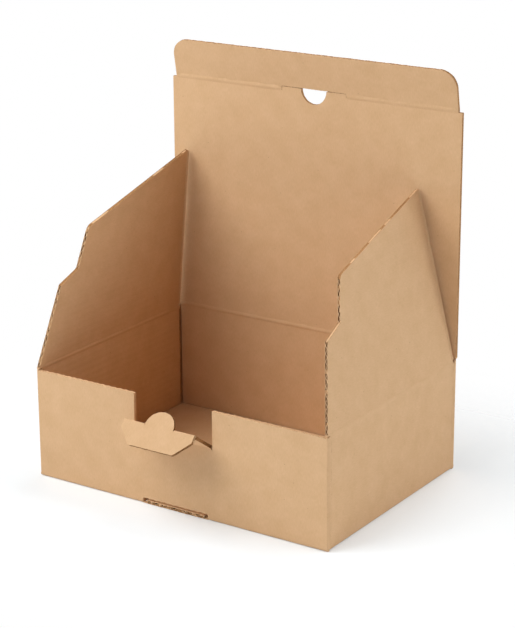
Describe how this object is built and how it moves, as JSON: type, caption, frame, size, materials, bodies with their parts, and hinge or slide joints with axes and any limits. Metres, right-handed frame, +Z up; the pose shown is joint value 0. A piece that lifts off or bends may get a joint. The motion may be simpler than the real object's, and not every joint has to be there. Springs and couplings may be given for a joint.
{
  "type": "corrugated mailer box",
  "caption": "Open corrugated mailer box: notched tray with upright lid and tuck flap, stepped side wings and a folding lock tab.",
  "frame": {"origin": "on the table under the middle of the base", "axes": "+X to the viewer's right along the front wall, +Y from the front wall to the back wall, +Z up"},
  "size_m": [0.312, 0.2563, 0.3731],
  "materials": {
    "kraft_board": "matt"
  },
  "bodies": {
    "tray": {"tray": "kraft_board"},
    "wing_left": {"wing_left": "kraft_board"},
    "wing_right": {"wing_right": "kraft_board"},
    "lid": {"lid": "kraft_board"},
    "tuck_flap": {"tuck_flap": "kraft_board"},
    "lock_tab": {"lock_tab": "kraft_board"},
    "lock_tip": {"lock_tip": "kraft_board"}
  },
  "joints": [
    {"name": "lid_crease", "type": "hinge", "parent": "tray", "child": "lid", "pos_m": [0, 0.1095, 0.109], "axis": [1, 0, 0], "range_deg": [-105, 0]},
    {"name": "tuck_flap_crease", "type": "hinge", "parent": "lid", "child": "tuck_flap", "pos_m": [0, 0.1095, 0.337], "axis": [1, 0, 0], "range_deg": [-100, 79]},
    {"name": "wing_left_crease", "type": "hinge", "parent": "tray", "child": "wing_left", "pos_m": [-0.1535, 0, 0.1048], "axis": [0, 1, 0], "range_deg": [-95, 84.6]},
    {"name": "wing_right_crease", "type": "hinge", "parent": "tray", "child": "wing_right", "pos_m": [0.1535, 0, 0.1048], "axis": [0, -1, 0], "range_deg": [-103, 70]},
    {"name": "lock_tab_crease", "type": "hinge", "parent": "tray", "child": "lock_tab", "pos_m": [-0.0035, -0.1095, 0.0685], "axis": [1, 0, 0], "range_deg": [-52, 40]},
    {"name": "lock_tip_crease", "type": "hinge", "parent": "lock_tab", "child": "lock_tip", "pos_m": [-0.0035, -0.13026, 0.08432], "axis": [1, 0, 0], "range_deg": [-85, 20]}
  ]
}
